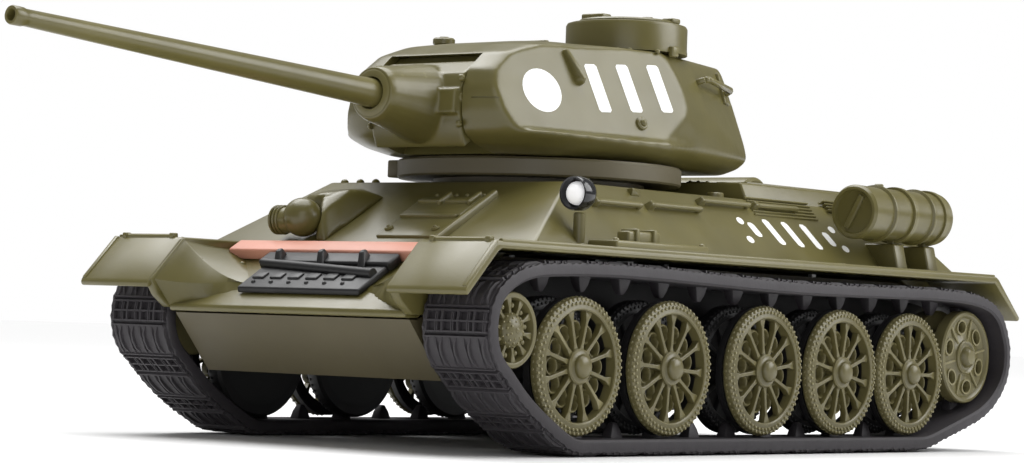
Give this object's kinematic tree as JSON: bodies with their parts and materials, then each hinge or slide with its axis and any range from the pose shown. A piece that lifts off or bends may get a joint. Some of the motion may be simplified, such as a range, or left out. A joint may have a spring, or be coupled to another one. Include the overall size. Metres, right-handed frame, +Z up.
{
  "type": "radio controlled toy tank",
  "caption": "Radio controlled toy medium tank with sloped hull, turning turret, elevating gun, spoked road wheels inside rubber tracks and rear fuel drums.",
  "frame": {"origin": "bottom centre of the bounding box, at the height of the ground under the tracks", "axes": "+Z up, -Y towards the bow and the gun's muzzle, +X towards the tank's left side"},
  "size_m": [0.1072, 0.282, 0.0973],
  "materials": {
    "olive": "satin",
    "olive_lower": "satin",
    "wheel_olive": "satin",
    "track_rubber": "matte",
    "black_plastic": "satin",
    "lamp_black": "gloss",
    "lamp_white": "gloss",
    "strip_salmon": "satin",
    "battery_blue": "satin",
    "board_green": "satin",
    "steel": "satin",
    "nylon": "satin"
  },
  "bodies": {
    "hull": {"hull_upper_shell": "olive", "hull_lower_tub": "olive_lower", "bow_strip": "strip_salmon", "spare_track_links": "black_plastic", "headlamp_housing": "lamp_black", "headlamp_led": "lamp_white", "battery_door": "olive_lower", "battery_pack": "battery_blue", "control_board": "board_green", "speaker": "black_plastic", "hull_screw_1": "steel", "hull_screw_2": "steel", "hull_screw_3": "steel", "hull_screw_4": "steel", "turret_motor": "steel", "track_left": "track_rubber", "fuel_drum_left": "olive", "drive_motor_left": "steel", "track_right": "track_rubber", "fuel_drum_right": "olive", "drive_motor_right": "steel"},
    "turret": {"turret_upper_shell": "olive", "turret_lower_shell": "olive", "turret_ring": "olive_lower", "roof_periscope": "olive", "cupola": "olive", "cupola_hatch": "olive"},
    "gun": {"gun_mantlet": "olive", "gun_barrel": "olive"},
    "turret_pinion": {"turret_pinion": "nylon"},
    "power_switch": {"power_switch": "black_plastic"},
    "sprocket_left": {"sprocket_left": "wheel_olive", "drive_gear_left": "nylon"},
    "idler_left": {"idler_left": "wheel_olive"},
    "motor_pinion_left": {"motor_pinion_left": "nylon"},
    "wheel_left_1": {"road_wheel_left_1": "wheel_olive", "inner_wheel_left_1": "black_plastic"},
    "wheel_left_2": {"road_wheel_left_2": "wheel_olive", "inner_wheel_left_2": "black_plastic"},
    "wheel_left_3": {"road_wheel_left_3": "wheel_olive", "inner_wheel_left_3": "black_plastic"},
    "wheel_left_4": {"road_wheel_left_4": "wheel_olive", "inner_wheel_left_4": "black_plastic"},
    "wheel_left_5": {"road_wheel_left_5": "wheel_olive", "inner_wheel_left_5": "black_plastic"},
    "sprocket_right": {"sprocket_right": "wheel_olive", "drive_gear_right": "nylon"},
    "idler_right": {"idler_right": "wheel_olive"},
    "motor_pinion_right": {"motor_pinion_right": "nylon"},
    "wheel_right_1": {"road_wheel_right_1": "wheel_olive", "inner_wheel_right_1": "black_plastic"},
    "wheel_right_2": {"road_wheel_right_2": "wheel_olive", "inner_wheel_right_2": "black_plastic"},
    "wheel_right_3": {"road_wheel_right_3": "wheel_olive", "inner_wheel_right_3": "black_plastic"},
    "wheel_right_4": {"road_wheel_right_4": "wheel_olive", "inner_wheel_right_4": "black_plastic"},
    "wheel_right_5": {"road_wheel_right_5": "wheel_olive", "inner_wheel_right_5": "black_plastic"}
  },
  "joints": [
    {"name": "turret_yaw", "type": "hinge", "parent": "hull", "child": "turret", "pos_m": [0, 0.01689, 0.06], "axis": [0, 0, 1], "range_deg": [-155, 155]},
    {"name": "gun_elevation", "type": "hinge", "parent": "turret", "child": "gun", "pos_m": [0, -0.00991, 0.0719], "axis": [-1, 0, 0], "range_deg": [-5.4, 11.6]},
    {"name": "turret_pinion_spin", "type": "hinge", "parent": "hull", "child": "turret_pinion", "pos_m": [0, 0.04689, 0.052], "axis": [0, 0, 1], "range_deg": [-700, 700]},
    {"name": "power_switch_slide", "type": "slide", "parent": "hull", "child": "power_switch", "axis": [0, 1, 0], "range_m": [0, 0.004]},
    {"name": "sprocket_left_spin", "type": "hinge", "parent": "hull", "child": "sprocket_left", "pos_m": [0.0443, 0.12219, 0.0224], "axis": [1, 0, 0], "continuous": true},
    {"name": "idler_left_spin", "type": "hinge", "parent": "hull", "child": "idler_left", "pos_m": [0.0443, -0.05201, 0.0248], "axis": [1, 0, 0], "continuous": true},
    {"name": "motor_pinion_left_spin", "type": "hinge", "parent": "hull", "child": "motor_pinion_left", "pos_m": [0.0267, 0.11379, 0.02466], "axis": [1, 0, 0], "continuous": true},
    {"name": "wheel_left_1_spin", "type": "hinge", "parent": "hull", "child": "wheel_left_1", "pos_m": [0.0443, -0.03061, 0.018], "axis": [1, 0, 0], "continuous": true},
    {"name": "wheel_left_2_spin", "type": "hinge", "parent": "hull", "child": "wheel_left_2", "pos_m": [0.0443, 0.00099, 0.018], "axis": [1, 0, 0], "continuous": true},
    {"name": "wheel_left_3_spin", "type": "hinge", "parent": "hull", "child": "wheel_left_3", "pos_m": [0.0443, 0.03609, 0.018], "axis": [1, 0, 0], "continuous": true},
    {"name": "wheel_left_4_spin", "type": "hinge", "parent": "hull", "child": "wheel_left_4", "pos_m": [0.0443, 0.06679, 0.018], "axis": [1, 0, 0], "continuous": true},
    {"name": "wheel_left_5_spin", "type": "hinge", "parent": "hull", "child": "wheel_left_5", "pos_m": [0.0443, 0.09629, 0.018], "axis": [1, 0, 0], "continuous": true},
    {"name": "sprocket_right_spin", "type": "hinge", "parent": "hull", "child": "sprocket_right", "pos_m": [-0.0443, 0.12219, 0.0224], "axis": [1, 0, 0], "continuous": true},
    {"name": "idler_right_spin", "type": "hinge", "parent": "hull", "child": "idler_right", "pos_m": [-0.0443, -0.05201, 0.0248], "axis": [1, 0, 0], "continuous": true},
    {"name": "motor_pinion_right_spin", "type": "hinge", "parent": "hull", "child": "motor_pinion_right", "pos_m": [-0.0267, 0.11379, 0.02466], "axis": [1, 0, 0], "continuous": true},
    {"name": "wheel_right_1_spin", "type": "hinge", "parent": "hull", "child": "wheel_right_1", "pos_m": [-0.0443, -0.03061, 0.018], "axis": [1, 0, 0], "continuous": true},
    {"name": "wheel_right_2_spin", "type": "hinge", "parent": "hull", "child": "wheel_right_2", "pos_m": [-0.0443, 0.00099, 0.018], "axis": [1, 0, 0], "continuous": true},
    {"name": "wheel_right_3_spin", "type": "hinge", "parent": "hull", "child": "wheel_right_3", "pos_m": [-0.0443, 0.03609, 0.018], "axis": [1, 0, 0], "continuous": true},
    {"name": "wheel_right_4_spin", "type": "hinge", "parent": "hull", "child": "wheel_right_4", "pos_m": [-0.0443, 0.06679, 0.018], "axis": [1, 0, 0], "continuous": true},
    {"name": "wheel_right_5_spin", "type": "hinge", "parent": "hull", "child": "wheel_right_5", "pos_m": [-0.0443, 0.09629, 0.018], "axis": [1, 0, 0], "continuous": true}
  ],
  "couplings": [
    {"joint": "turret_pinion_spin", "follows": "turret_yaw", "ratio": -4.5},
    {"joint": "idler_left_spin", "follows": "sprocket_left_spin", "ratio": 1.4605},
    {"joint": "motor_pinion_left_spin", "follows": "sprocket_left_spin", "ratio": -1.5},
    {"joint": "wheel_left_1_spin", "follows": "sprocket_left_spin", "ratio": 0.7845},
    {"joint": "wheel_left_2_spin", "follows": "sprocket_left_spin", "ratio": 0.7845},
    {"joint": "wheel_left_3_spin", "follows": "sprocket_left_spin", "ratio": 0.7845},
    {"joint": "wheel_left_4_spin", "follows": "sprocket_left_spin", "ratio": 0.7845},
    {"joint": "wheel_left_5_spin", "follows": "sprocket_left_spin", "ratio": 0.7845},
    {"joint": "idler_right_spin", "follows": "sprocket_right_spin", "ratio": 1.4605},
    {"joint": "motor_pinion_right_spin", "follows": "sprocket_right_spin", "ratio": -1.5},
    {"joint": "wheel_right_1_spin", "follows": "sprocket_right_spin", "ratio": 0.7845},
    {"joint": "wheel_right_2_spin", "follows": "sprocket_right_spin", "ratio": 0.7845},
    {"joint": "wheel_right_3_spin", "follows": "sprocket_right_spin", "ratio": 0.7845},
    {"joint": "wheel_right_4_spin", "follows": "sprocket_right_spin", "ratio": 0.7845},
    {"joint": "wheel_right_5_spin", "follows": "sprocket_right_spin", "ratio": 0.7845}
  ]
}
